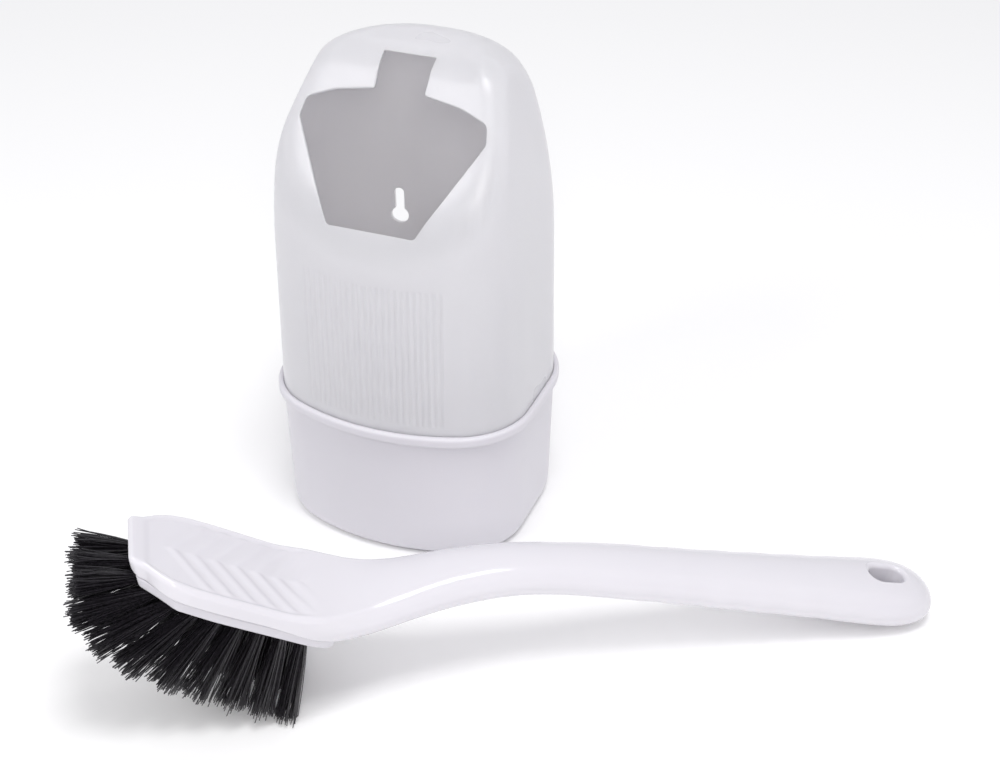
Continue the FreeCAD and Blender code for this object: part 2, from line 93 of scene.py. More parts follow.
# %% The camera
CAMERA_PLACE = (306.46, -669.79, 543.05)
CAMERA_PITCH = 57.07
CAMERA_TURN = 21.43
lens = bpy.data.cameras.new("camera")
lens.lens = 64.37
lens.sensor_width = 36.0
lens.clip_start = 0.05
lens.clip_end = 50.0
camera = bpy.data.objects.new("camera", lens)
camera.location = Vector(CAMERA_PLACE) * MM
camera.rotation_euler = (math.radians(CAMERA_PITCH), 0.0, math.radians(CAMERA_TURN))
bpy.context.scene.collection.objects.link(camera)
bpy.context.scene.camera = camera
print("camera is", round(camera.location.length, 3), "m from the middle of the cup")

# %% [markdown]
# ## One way to make a skin
# Every moulded piece here is a closed surface that can be drawn as rings, one above the other,
# like the courses of a chimney. A grid of points, rows by columns, says where each ring runs. One
# helper joins the grid with quads and closes both ends with a fan to a pole, so there is never a
# hole. Rings that turn anticlockwise, seen from where the rows are heading, face outwards.

# %% Skin, carve and shade
def skin(name, rings, low_pole=None, high_pole=None):
    """A closed mesh over rings, an array of (row, column, xyz) in mm, with a pole at each end.

    Point k of a ring joins point k + 1 of the same ring and point k of the next ring.
    """
    rows, columns = rings.shape[:2]
    index = np.arange(rows * columns).reshape(rows, columns)
    beside = np.roll(index, -1, axis=1)
    quads = np.stack([index[:-1], beside[:-1], beside[1:], index[1:]], axis=-1).reshape(-1, 4)
    low = rings[0].mean(axis=0) if low_pole is None else np.array(low_pole)
    high = rings[-1].mean(axis=0) if high_pole is None else np.array(high_pole)
    below = np.full(columns, rows * columns)
    low_fan = np.stack([beside[0], index[0], below], axis=-1)
    high_fan = np.stack([index[-1], beside[-1], below + 1], axis=-1)
    points = np.vstack([rings.reshape(-1, 3), low, high]) * MM
    mesh = bpy.data.meshes.new(name)
    mesh.from_pydata(points, [], quads.tolist() + low_fan.tolist() + high_fan.tolist())
    piece = bpy.data.objects.new(name, mesh)
    bpy.context.scene.collection.objects.link(piece)
    return piece


def carve(piece, cutters):
    """Take the cutters out of a piece with exact booleans, keep the result and drop the cutters."""
    for cutter in cutters:
        hole = piece.modifiers.new("hole", "BOOLEAN")
        hole.operation = "DIFFERENCE"
        hole.solver = "EXACT"
        hole.object = cutter
    graph = bpy.context.evaluated_depsgraph_get()
    carved = bpy.data.meshes.new_from_object(piece.evaluated_get(graph))
    piece.modifiers.clear()
    piece.data = carved
    for cutter in cutters:
        bpy.data.objects.remove(cutter)


def shade(piece, sharp_angle=32.0):
    """Smooth shading that stays crisp where two faces meet at more than sharp_angle degrees."""
    mesh = piece.data
    mesh.polygons.foreach_set("use_smooth", np.ones(len(mesh.polygons), dtype=bool))
    mesh.set_sharp_from_angle(angle=math.radians(sharp_angle))
    mesh.update()


# %% [markdown]
# ## Rounded outlines
# A mould maker draws an outline as a few corners and says how round each one is. The next helper
# does the same: each corner becomes a curve between two tangent points, and long straight runs
# get extra points so that the shading stays even. It serves the cup's profile, the mouth of the
# hood and the plan of the bristle block.

# %% Round the corners of an outline
def rounded(corners, radii, spacing, closed, turns=8):
    """Points along a polyline whose corners are eased.

    With unit vectors back and ahead along the two sides of a corner, the curve starts at
    corner + reach * back, ends at corner + reach * ahead and is pulled to the corner by
    (1 - t)^2, 2t(1 - t) and t^2, where reach = radius / tan(half the corner's angle).
    """
    corner = np.array(corners, dtype=float)
    back = np.roll(corner, 1, axis=0) - corner
    ahead = np.roll(corner, -1, axis=0) - corner
    back /= np.linalg.norm(back, axis=1)[:, None]
    ahead /= np.linalg.norm(ahead, axis=1)[:, None]
    half_angle = np.arccos(np.clip((back * ahead).sum(axis=1), -1, 1)) / 2
    reach = (np.array(radii) / np.tan(half_angle))[:, None]
    if not closed:
        reach[[0, -1]] = 0.0
    t = np.linspace(0, 1, turns + 1)[None, :, None]
    first = (corner + reach * back)[:, None]
    last = (corner + reach * ahead)[:, None]
    line = (1 - t) ** 2 * first + 2 * t * (1 - t) * corner[:, None] + t**2 * last
    line = line.reshape(-1, 2)
    keep = np.linalg.norm(np.diff(line, axis=0, prepend=line[-1:] + 9.0), axis=1) > 1e-6
    line = line[keep]
    if closed:
        line = np.vstack([line, line[:1]])
    run = np.concatenate([[0.0], np.cumsum(np.linalg.norm(np.diff(line, axis=0), axis=1))])
    steps = np.union1d(run, np.arange(0.0, run[-1], spacing))
    steps = steps[np.diff(steps, prepend=-1.0) > 0.02]
    line = np.stack([np.interp(steps, run, line[:, axis]) for axis in (0, 1)], axis=-1)
    return line[:-1] if closed else line


def grown(outline, amount):
    """A closed anticlockwise outline moved outwards by amount along its own normals."""
    along = np.roll(outline, -1, axis=0) - np.roll(outline, 1, axis=0)
    along /= np.linalg.norm(along, axis=1)[:, None]
    normal = np.stack([along[:, 1], -along[:, 0]], axis=-1)
    return outline + normal * amount


# %% [markdown]
# ## The plan of the cup and the hood
# Seen from above, cup and hood share one outline: a wide bow at the front, two round corners,
# straight sides, rounder back corners and a flat back that can lie against a wall. A tangent
# chain of arcs has a handy property: moving it inwards only shortens every radius, while the arc
# centres stay. So the outline is stored as centres, radii and directions, and any wall of the cup
# is one line of arithmetic.

# %% The shared plan outline
FRONT_RADIUS = 110.0
FRONT_CORNER = 38.0
BACK_CORNER = 42.0
FRONT_CENTRE = FRONT_RADIUS - RIM_FRONT
corner_x = RIM_HALF - FRONT_CORNER
corner_y = FRONT_CENTRE - math.sqrt((FRONT_RADIUS - FRONT_CORNER) ** 2 - corner_x**2)
back_x = RIM_HALF - BACK_CORNER
back_y = RIM_BACK - BACK_CORNER
swing = math.degrees(math.atan2(corner_x, FRONT_CENTRE - corner_y))

# Each span: first and last centre, first and last radius, first and last direction, columns.
SPANS = [
    ((0, FRONT_CENTRE), (0, FRONT_CENTRE), FRONT_RADIUS, FRONT_RADIUS, -90 - swing, -90 + swing, 64),
    ((corner_x, corner_y), (corner_x, corner_y), FRONT_CORNER, FRONT_CORNER, -90 + swing, 0, 34),
    ((corner_x, corner_y), (back_x, back_y), FRONT_CORNER, BACK_CORNER, 0, 0, 12),
    ((back_x, back_y), (back_x, back_y), BACK_CORNER, BACK_CORNER, 0, 90, 44),
    ((back_x, back_y), (-back_x, back_y), BACK_CORNER, BACK_CORNER, 90, 90, 16),
    ((-back_x, back_y), (-back_x, back_y), BACK_CORNER, BACK_CORNER, 90, 180, 44),
    ((-back_x, back_y), (-corner_x, corner_y), BACK_CORNER, FRONT_CORNER, 180, 180, 12),
    ((-corner_x, corner_y), (-corner_x, corner_y), FRONT_CORNER, FRONT_CORNER, 180, 270 - swing, 34),
]


def plan_columns():
    """Centre, radius and outward direction of each column of the rim's outline, anticlockwise."""
    columns = []
    for start, end, radius_start, radius_end, turn_start, turn_end, count in SPANS:
        t = np.linspace(0, 1, count, endpoint=False)[:, None]
        first = np.array([*start, radius_start, turn_start])
        last = np.array([*end, radius_end, turn_end])
        columns.append(first + (last - first) * t)
    columns = np.vstack(columns)
    return columns[:, :2], columns[:, 2], np.radians(columns[:, 3])


def plan_rings(inset, height):
    """Rings of the outline, one per row: centre + (radius - inset) * (cos, sin) at each height."""
    centre, radius, turn = plan_columns()
    reach = radius - np.array(inset)[:, None]
    x = centre[:, 0] + reach * np.cos(turn)
    y = centre[:, 1] + reach * np.sin(turn)
    return np.stack([x, y, np.broadcast_to(np.array(height)[:, None], x.shape)], axis=-1)


# %% [markdown]
# ## The drip cup
# The cup is a shallow tub with a rolled-looking rim: the wall flares out into a band, and a step
# inside the band is the socket that the hood's foot drops into. It could be a lathe-like sweep of
# one profile round the plan outline, and that is what it is here: a list of (inset, height)
# corners, eased, carried round the arcs. The profile runs from the underside's middle, up the
# outside, over the rim and down the inside, so the tub is one closed skin with real thickness.

# %% Make the drip cup
CUP_WALL = 2.2
CUP_FLOOR = 2.5
RIM_STEP = 2.6
SOCKET_WALL = 2.5
SOCKET_FLOOR = 66.5
CUP_FOOT_INSET = 4.6
INNER_INSET = 34.0
CUP_PROFILE = [
    # inset, height, ease
    (INNER_INSET, 0.0, 0.0),
    (CUP_FOOT_INSET, 0.0, 7.5),
    (RIM_STEP, 65.4, 0.5),
    (0.0, 67.4, 1.5),
    (0.0, CUP_TOP, 1.8),
    (SOCKET_WALL, CUP_TOP, 0.3),
    (SOCKET_WALL, SOCKET_FLOOR, 0.0),
    (RIM_STEP + CUP_WALL, SOCKET_FLOOR, 0.4),
    (CUP_FOOT_INSET + CUP_WALL, CUP_FLOOR, 5.3),
    (INNER_INSET, CUP_FLOOR, 0.0),
]
profile = np.array(CUP_PROFILE)
line = rounded(profile[:, :2], profile[:, 2], spacing=4.0, closed=False)
drip_cup = skin("drip_cup", plan_rings(line[:, 0], line[:, 1]))
shade(drip_cup)
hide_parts("base_cup")
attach(drip_cup, "cup")
print("drip cup:", len(drip_cup.data.polygons), "faces,", len(line), "rows")

# %% [markdown]
# ## The hood's form
# The hood is a tall shell: nearly upright walls, an arched top, a back edge that rolls over, and
# a flat slope cut across the front, with every edge of the slope melted round. Such a form is hard
# to loft but easy to describe as a distance: how far is a point outside the wall, and how far is
# it above the slope. Two distances can be merged with a round corner of any radius. The same
# description gives the inner surface, which is simply everywhere a wall thickness deeper.

# %% Describe the hood as a distance
HOOD_WALL = 2.0
DRAFT = math.tan(math.radians(0.77))
ARCH_START = 146.5
ARCH_SIDE = 227.7
ARCH_CORNER = 16.0
BACK_ROLL = 27.0
SLOPE_START = 167.7
SLOPE_ANGLE = math.radians(53.8)
SLOPE_EDGE = 9.0
CORNER_SHARE = 0.9


def wall_inset(z):
    """How far the drafted wall stands inside the rim's outline at height z."""
    return RIM_STEP + (z - HOOD_FOOT) * DRAFT


arch_half = RIM_HALF - wall_inset(ARCH_START)
arch_corner_z = HOOD_TOP - ARCH_CORNER
arch_gap = ARCH_SIDE - ARCH_CORNER
arch_rise = arch_corner_z - ARCH_START
arch_corner_x = arch_half - ARCH_SIDE + math.sqrt(arch_gap**2 - arch_rise**2)
arch_joint_z = arch_corner_z + ARCH_CORNER * arch_rise / arch_gap
slope_foot_y = wall_inset(SLOPE_START) - RIM_FRONT


def half_width(z):
    """Half the hood's width at height z: the drafted wall, then a large arc, then a tight one."""
    upright = RIM_HALF - wall_inset(z)
    rise = np.clip(z - ARCH_START, 0, arch_rise * ARCH_SIDE / arch_gap)
    side = arch_half - ARCH_SIDE + np.sqrt(ARCH_SIDE**2 - rise**2)
    height = np.clip(z - arch_corner_z, 0, ARCH_CORNER)
    corner = arch_corner_x + np.sqrt(ARCH_CORNER**2 - height**2)
    return np.where(z < ARCH_START, upright, np.where(z < arch_joint_z, side, corner))


def back_depth(z):
    """Distance from the axis to the back wall at height z, which rolls over on a quarter arc."""
    start = HOOD_TOP - BACK_ROLL
    rise = np.clip(z - start, 0, BACK_ROLL)
    upright = RIM_BACK - wall_inset(np.minimum(z, start))
    return upright - BACK_ROLL + np.sqrt(BACK_ROLL**2 - rise**2)


def plan_distance(x, y, z):
    """Distance outside the hood's outline at height z.

    It is the largest of three distances, outside the side, the back and the front bow, and in
    the corner regions the distance from the corner's centre less its radius. A corner keeps the
    rim's radius less the wall's inset, up to a share of the half width, so that near the top,
    where the arch draws the outline in, it still fits beside its twin.
    """
    inset = wall_inset(z)
    half = half_width(z)
    back = back_depth(z)
    side = np.abs(x)
    bow = FRONT_RADIUS - inset
    front = np.minimum(FRONT_CORNER - inset, CORNER_SHARE * half)
    front_x = half - front
    front_y = FRONT_CENTRE - np.sqrt((bow - front) ** 2 - front_x**2)
    rear = np.minimum(BACK_CORNER - inset, CORNER_SHARE * half)
    rear_x = half - rear
    rear_y = back - rear
    flat = np.maximum(side - half, y - back)
    bowed = np.hypot(side, y - FRONT_CENTRE) - bow
    beside_bow = side * (FRONT_CENTRE - front_y) > front_x * (FRONT_CENTRE - y)
    at_front = (y < front_y) & beside_bow
    at_rear = (y > rear_y) & (side > rear_x)
    return np.select(
        [at_front, at_rear],
        [
            np.hypot(side - front_x, y - front_y) - front,
            np.hypot(side - rear_x, y - rear_y) - rear,
        ],
        np.maximum(flat, bowed),
    )


def hood_distance(points):
    """Distance outside the hood's outer surface, negative inside.

    The plan distance over the wall's steepness is the wall's distance, and the top plane caps it.
    Two distances a and b meet with an edge radius r as hypot(a + r, b + r) - r, taken where both
    a + r and b + r are positive.
    """
    x, y, z = np.moveaxis(points, -1, 0)
    step = 0.05
    here = plan_distance(x, y, z)
    steepness = (here - plan_distance(x, y, z - step)) / step
    wall = np.maximum(here / np.hypot(1.0, steepness), z - HOOD_TOP)
    slope = (z - SLOPE_START) * math.cos(SLOPE_ANGLE) - (y - slope_foot_y) * math.sin(SLOPE_ANGLE)
    reach = np.hypot(np.clip(wall + SLOPE_EDGE, 0, None), np.clip(slope + SLOPE_EDGE, 0, None))
    return np.minimum(np.maximum(wall, slope), -SLOPE_EDGE) + reach


print("arch:", round(2 * arch_half, 1), "mm wide, corner arcs start at", round(arch_joint_z, 1))

# %% [markdown]
# ## Casting the hood's two surfaces
# To turn the distance into a mesh, rays go out from the axis and each one is halved again and
# again until it stops on the surface, all rays at once. Level rays make the walls and rising
# rays make the dome. The columns are packed eight to a flute on the front, where a field of fine
# upright flutes is moulded, and are wider apart elsewhere. The inner rows run down and the outer
# rows run up, so the two surfaces close round the foot as one skin.

# %% Cast the hood
AXIS_Y = 16.0
DOME_START = 150.0
FLUTE_PITCH = 2.9
FLUTE_DEPTH = 0.28
FLUTE_HALF_FIELD = 35.0
FLUTE_LOW = 76.0
FLUTE_HIGH = 148.0
FLUTE_SIDE_FADE = 0.3
FLUTE_END_FADE = 1.5
PER_FLUTE = 8
AROUND_COLUMNS = 190
HALVINGS = 40


def cast(origins, directions, level):
    """Where each ray meets the surface whose distance is level, by halving its span."""
    shape = np.broadcast_shapes(origins.shape, directions.shape)[:-1]
    near = np.zeros(shape)
    far = np.full(shape, 2.0 * RIM_HALF + RIM_BACK)
    for _ in range(HALVINGS):
        middle = (near + far) / 2
        inside = hood_distance(origins + middle[..., None] * directions) < level
        near = np.where(inside, middle, near)
        far = np.where(inside, far, middle)
    return origins + near[..., None] * directions


def hood_azimuths():
    """Directions of the columns: even in x over the flutes, even in angle round the rest."""
    edge = FLUTE_HALF_FIELD + FLUTE_PITCH
    x = np.arange(-edge, edge, FLUTE_PITCH / PER_FLUTE)
    bow = FRONT_RADIUS - wall_inset((FLUTE_LOW + FLUTE_HIGH) / 2)
    front = np.arctan2(FRONT_CENTRE - np.sqrt(bow**2 - x**2) - AXIS_Y, x)
    return np.concatenate([front, np.linspace(front[-1], front[0] + 2 * math.pi, AROUND_COLUMNS)[1:-1]])


def hood_surface(level, heights, elevations):
    """Rows of the level surface, from the lowest height up to just short of the pole."""
    azimuth = hood_azimuths()
    flat = np.stack([np.cos(azimuth), np.sin(azimuth), np.zeros_like(azimuth)], axis=-1)
    axis = np.zeros((len(heights), 1, 3))
    axis[:, 0, 1] = AXIS_Y
    axis[:, 0, 2] = heights
    walls = cast(axis, flat[None], level)
    rise = np.radians(elevations)[:, None, None]
    rays = flat[None] * np.cos(rise) + np.array([0, 0, 1.0]) * np.sin(rise)
    dome = cast(np.array([[[0, AXIS_Y, DOME_START]]]), rays, level)
    return np.concatenate([walls, dome])


def flute(points):
    """Sink the flutes into the front: depth * (1 - cos(2 pi x / pitch)) / 2 inside the field."""
    x, y, z = np.moveaxis(points, -1, 0)
    wave = (1 - np.cos(2 * math.pi * (x + FLUTE_HALF_FIELD) / FLUTE_PITCH)) / 2
    beside = np.clip((FLUTE_HALF_FIELD - np.abs(x)) / FLUTE_SIDE_FADE, 0, 1)
    from_foot = np.clip((z - FLUTE_LOW) / FLUTE_END_FADE, 0, 1)
    from_head = np.clip((FLUTE_HIGH - z) / FLUTE_END_FADE, 0, 1)
    depth = FLUTE_DEPTH * wave * beside * from_foot * from_head * (y < 0)
    outward = np.stack([x, y - FRONT_CENTRE, np.zeros_like(x)], axis=-1)
    outward /= np.linalg.norm(outward, axis=-1)[..., None]
    return points - outward * depth[..., None]


outer_heights = np.unique(np.concatenate([
    [HOOD_FOOT, HOOD_FOOT + 0.5, 72.0, 75.0],
    FLUTE_LOW + np.array([0.0, 0.8, 1.6, 3.0]),
    np.arange(84.0, 144.0, 6.0),
    FLUTE_HIGH - np.array([3.0, 1.6, 0.8, 0.0]),
    [DOME_START],
]))
inner_heights = np.array([HOOD_FOOT, 80.0, 100.0, 120.0, 135.0, DOME_START])
outer = flute(hood_surface(0.0, outer_heights, np.linspace(0, 89.2, 92)[1:]))
inner = hood_surface(-HOOD_WALL, inner_heights, np.linspace(0, 88.5, 48)[1:])
hood = skin(
    "arched_hood",
    np.concatenate([inner[::-1], outer]),
    low_pole=(0, AXIS_Y, HOOD_TOP - HOOD_WALL),
    high_pole=(0, AXIS_Y, HOOD_TOP),
)
print("hood before its openings:", len(hood.data.polygons), "faces")

# %% [markdown]
# ## The hood's mouth and keyholes
# The brush goes in through a mouth in the slope: narrow at the bottom, wide at the shoulders, with
# a square notch above for the handle. In the back wall two keyholes take screw heads. On the real
# part these are steel cores in the mould. Here they are cutters: each eased outline is swept
# through the wall, and the mouth's grows a little at the outer face to leave a rounded lip that
# catches the light.

# %% Cut the mouth and the keyholes
MOUTH = [
    # half width, distance up the slope, ease
    (21.1, 6.2, 3.0),
    (44.9, 52.3, 4.0),
    (43.2, 60.9, 4.0),
    (30.0, 66.2, 30.0),
    (11.9, 69.2, 1.4),
    (12.7, 87.3, 1.0),
]
MOUTH_LIP = 0.8
LIP_STOP = 0.03
MOUTH_DEPTH = 9.0
MOUTH_OUTSIDE = 12.0
MOUTH_MIDDLE = 50.0
KEYHOLE_X = 30.8
KEYHOLE_HEAD_Z = 126.4
KEYHOLE_HEAD = 4.4
KEYHOLE_SLOT = 2.4
KEYHOLE_TOP = 141.6
KEYHOLE_OUTSIDE = 5.0
KEYHOLE_INSIDE = 14.0


def lip_growth(height, lip):
    """How much a hole has grown at a height below its outer face, for a quarter-round lip."""
    rise = np.clip(height + lip, 0, lip)
    return lip - np.sqrt(lip**2 - rise**2)


def mouth_cutter():
    """The mouth's outline on the slope, swept along the slope's normal through the wall."""
    right = np.array(MOUTH)
    left = right[::-1] * np.array([-1, 1, 1])
    corners = np.vstack([right, left])
    outline = rounded(corners[:, :2], corners[:, 2], spacing=2.0, closed=True)
    heights = np.concatenate([
        [-MOUTH_DEPTH], np.linspace(-MOUTH_LIP, -LIP_STOP, 6), [MOUTH_OUTSIDE],
    ])
    rings = np.stack([grown(outline, growth) for growth in lip_growth(heights, MOUTH_LIP)])
    across = np.array([1.0, 0.0, 0.0])
    up = np.array([0.0, math.cos(SLOPE_ANGLE), math.sin(SLOPE_ANGLE)])
    out = np.array([0.0, -math.sin(SLOPE_ANGLE), math.cos(SLOPE_ANGLE)])
    foot = np.array([0.0, slope_foot_y, SLOPE_START])
    rows = foot + rings[..., :1] * across + rings[..., 1:] * up + heights[:, None, None] * out
    return skin(
        "mouth_cutter", rows,
        low_pole=foot + MOUTH_MIDDLE * up + heights[0] * out,
        high_pole=foot + MOUTH_MIDDLE * up + heights[-1] * out,
    )


def keyhole_cutter(x):
    """A round head with a narrower slot above it, swept through the back wall.

    The head's circle opens where the slot's sides meet it, at asin(slot / head) from the top.
    """
    opening = math.asin(KEYHOLE_SLOT / KEYHOLE_HEAD)
    head = np.linspace(math.pi / 2 + opening, math.pi * 5 / 2 - opening, 40)
    cap = np.linspace(0, math.pi, 16)
    across = np.concatenate([KEYHOLE_HEAD * np.cos(head), KEYHOLE_SLOT * np.cos(cap)])
    up = np.concatenate([
        KEYHOLE_HEAD_Z + KEYHOLE_HEAD * np.sin(head),
        KEYHOLE_TOP - KEYHOLE_SLOT + KEYHOLE_SLOT * np.sin(cap),
    ])
    outline = np.stack([across, up], axis=-1)
    depths = np.array([RIM_BACK + KEYHOLE_OUTSIDE, RIM_BACK - KEYHOLE_INSIDE])
    rows = np.stack([
        np.stack([x + outline[:, 0], np.full(len(outline), y), outline[:, 1]], axis=-1) for y in depths
    ])
    return skin("keyhole_cutter", rows)


carve(hood, [mouth_cutter(), keyhole_cutter(-KEYHOLE_X), keyhole_cutter(KEYHOLE_X)])
shade(hood)
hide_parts("hood")
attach(hood, "hood")
print("arched hood:", len(hood.data.polygons), "faces")

# %% [markdown]
# ## The brush's own frame
# The brush lies turned on the floor, so it is modelled in a frame of its own: u runs from the
# head's nose to the end of the handle, v across and z up from the floor. The head slopes, and it
# has a tilted frame again: x down its slope, y across, z out of its top. Two short functions carry
# points from one frame to the next.

# %% Frames of the brush
BRUSH_X = -45.7
BRUSH_Y = -186.6
BRUSH_YAW = math.radians(32.0)
HEAD_HEIGHT = 93.2
HEAD_PITCH = math.radians(28.0)


def brush_to_floor(points):
    """Turn points by the brush's yaw and move its nose to its place on the floor."""
    u, v, z = np.moveaxis(points, -1, 0)
    x = BRUSH_X + u * math.cos(BRUSH_YAW) - v * math.sin(BRUSH_YAW)
    y = BRUSH_Y + u * math.sin(BRUSH_YAW) + v * math.cos(BRUSH_YAW)
    return np.stack([x, y, z], axis=-1)


def head_to_floor(points):
    """Tip points down by the head's pitch, then place them as the brush is placed."""
    x, y, z = np.moveaxis(points, -1, 0)
    u = x * math.cos(HEAD_PITCH) + z * math.sin(HEAD_PITCH)
    up = HEAD_HEIGHT - x * math.sin(HEAD_PITCH) + z * math.cos(HEAD_PITCH)
    return brush_to_floor(np.stack([u, y, up], axis=-1))


# %% [markdown]
# ## The handle and head, one moulding
# Head, neck and grip are a single solid moulding. It is a long body whose section changes slowly:
# a flat rounded bar at the head, an oval at the grip. So it is swept: short tables give height,
# lean, width and thickness at stations along the spine, and a running average takes the corners
# off the tables. The nose is cut back, and the tail closes on a blunt dome.

# %% Stations along the spine
HEAD_HALF_THICKNESS = 4.0
NOSE_BACK = 9.0
BLOCK_FLOOR = 13.0
NOSE_EASE = 1.6
TAIL_START = 326.0
TAIL_END = 355.0
TAIL_POWER = 2.7
LEAN_GRIP = -13.3
EASING = 16.0
LEAST_EASING = 0.12
EASING_FROM = 20.0
EASING_TO = 80.0

HEAD_START = -HEAD_HALF_THICKNESS * math.sin(HEAD_PITCH)
HEAD_MIDDLE = HEAD_HEIGHT - HEAD_HALF_THICKNESS * math.cos(HEAD_PITCH)
HEAD_FALL = math.tan(HEAD_PITCH)
HEAD_STRAIGHT = 60.0
# Each row of a table starts with the distance from the nose. The spine's rows give its height.
SPINE = [
    (HEAD_START - 40, HEAD_MIDDLE + 40 * HEAD_FALL),
    (HEAD_STRAIGHT, HEAD_MIDDLE - (HEAD_STRAIGHT - HEAD_START) * HEAD_FALL),
    (80, 47.9), (92, 46.2), (103, 46.9), (130, 51.1), (150, 52.5), (165, 51.7), (185, 48.5),
    (207, 43.7), (264, 29.4), (324, 14.8), (395, -2.4),
]
LEAN = [(60, -28.0), (80, -19.0), (103, 4.0), (130, 6.5), (160, -4.0), (195, LEAN_GRIP)]
HALF_WIDTH = [
    (-2, 15.4), (3, 16.8), (9, 21.2), (15, 24.2), (22, 25.6), (30, 25.9), (40, 25.7), (52, 25.2),
    (64, 25.4), (74, 25.2), (82, 24.0), (93, 21.4), (105, 18.9), (116, 16.8), (130, 15.0), (146, 14.0),
    (160, 13.2), (180, 12.9), (207, 14.4), (245, 15.2), (264, 16.0), (293, 17.1), (312, 18.2),
    (327, 19.2), (400, 19.4),
]
HALF_THICKNESS = [
    (60, 4.0), (80, 7.4), (103, 9.8), (130, 10.0), (160, 9.8), (207, 10.0),
    (245, 10.5), (264, 10.8), (293, 11.3), (327, 12.0),
]


def eased(table, along):
    """A table's value along the spine, averaged over a window that shrinks on the flat head."""
    u, value = np.array(table).T
    share = np.clip((along - EASING_FROM) / (EASING_TO - EASING_FROM), LEAST_EASING, 1.0)
    spread = EASING * share[:, None]
    offsets = np.linspace(-0.5, 0.5, 21)
    return np.interp(along[:, None] + spread * offsets, u, value).mean(axis=1)


head_rows = np.arange(0.0, 74.0, 0.72)
nose_rows = HEAD_START + NOSE_EASE * (1 - np.cos(np.linspace(0, math.pi / 2, 6)))
grip_rows = np.arange(76.0, TAIL_START, 2.0)
tail_turn = np.linspace(0, math.radians(86), 20)
tail_rows = TAIL_START + (TAIL_END - TAIL_START) * np.sin(tail_turn) ** (2 / TAIL_POWER)
along = np.concatenate([nose_rows, head_rows[head_rows > nose_rows[-1]], grip_rows, tail_rows])
print(len(along), "rings from", round(along[0], 1), "to", round(along[-1], 1), "mm")

# %% [markdown]
# ## The relief on the head and the finger ripples
# The head's top is a shallow dish with a raised border, and inside it seven soft chevrons point
# towards the nose, which stiffen the plate and give a thumb some grip. Low ripples on the sides
# of the grip fit the fingers. Both are a few tenths of a millimetre deep, but they are real
# relief, because they bend the reflections. Each is a smooth wave times a mask that fades at the
# edge of its field.

# %% Relief as waves and masks
CHEVRON_FIRST = 18.6
CHEVRON_PITCH = 9.4
CHEVRON_COUNT = 7
CHEVRON_SWEEP = 0.72
CHEVRON_HEIGHT = 0.6
DISH_DEPTH = 0.7
BORDER = 3.6
BORDER_SLOPE = (-1.6, 1.0)
DISH_NOSE = (5.5, 9.0)
DISH_NECK = (72.0, 86.0)
CHEVRON_SHARPNESS = 1.4
CHEVRON_ENDS = (-0.4, 2.2)
RIPPLE_START = 214.0
RIPPLE_END = 312.0
RIPPLE_PITCH = 19.0
RIPPLE_DEPTH = 0.6
RIPPLE_FADE = 6.0


def fade(value, start, end):
    """0 before start, 1 after end, and a smooth step between: t * t * (3 - 2t)."""
    t = np.clip((value - start) / (end - start), 0, 1)
    return t * t * (3 - 2 * t)


def head_relief(x, y, half):
    """Height of the head's top over its plane, from the distance down the slope and across."""
    side = np.abs(y)
    inner = half - BORDER
    field = fade(inner - side, *BORDER_SLOPE) * fade(x, *DISH_NOSE) * (1 - fade(x, *DISH_NECK))
    phase = (x - CHEVRON_SWEEP * side - CHEVRON_FIRST) / CHEVRON_PITCH
    ridge = ((1 + np.cos(2 * math.pi * phase)) / 2) ** CHEVRON_SHARPNESS
    in_row = fade(phase, -0.5, -0.4) * fade(-phase, 0.4 - CHEVRON_COUNT, 0.5 - CHEVRON_COUNT)
    arms = fade(inner - side, *CHEVRON_ENDS)
    return field * (CHEVRON_HEIGHT * ridge * in_row * arms - DISH_DEPTH)


def ripple(u):
    """How far the grip's sides draw in along it: depth * (1 - cos) / 2 inside the finger field."""
    rise = fade(u, RIPPLE_START - RIPPLE_FADE, RIPPLE_START + RIPPLE_FADE)
    field = rise * (1 - fade(u, RIPPLE_END - RIPPLE_FADE, RIPPLE_END + RIPPLE_FADE))
    return RIPPLE_DEPTH * field * (1 - np.cos(2 * math.pi * (u - RIPPLE_START) / RIPPLE_PITCH)) / 2


# %% [markdown]
# ## Sweeping the handle
# Each ring starts as a rounded bar, drawn like the plan outline above: four corner centres plus a
# radius times a direction. Dividing by the half width and half thickness puts it in a unit square,
# and pulling each point onto the unit circle turns the bar into an oval. The blend between the
# two runs along the neck.

# %% Sweep the handle
TOP_COLUMNS = 66
UNDER_COLUMNS = 24
CORNER_COLUMNS = 9
SIDE_COLUMNS = 12
TOP_EDGE = 2.6
UNDER_EDGE = 1.2
EDGE_SHARE = 0.8
OVAL_SHARE = 0.92
OVAL_FROM = 62.0
OVAL_TO = 112.0
NOSE_REACH = 24.0


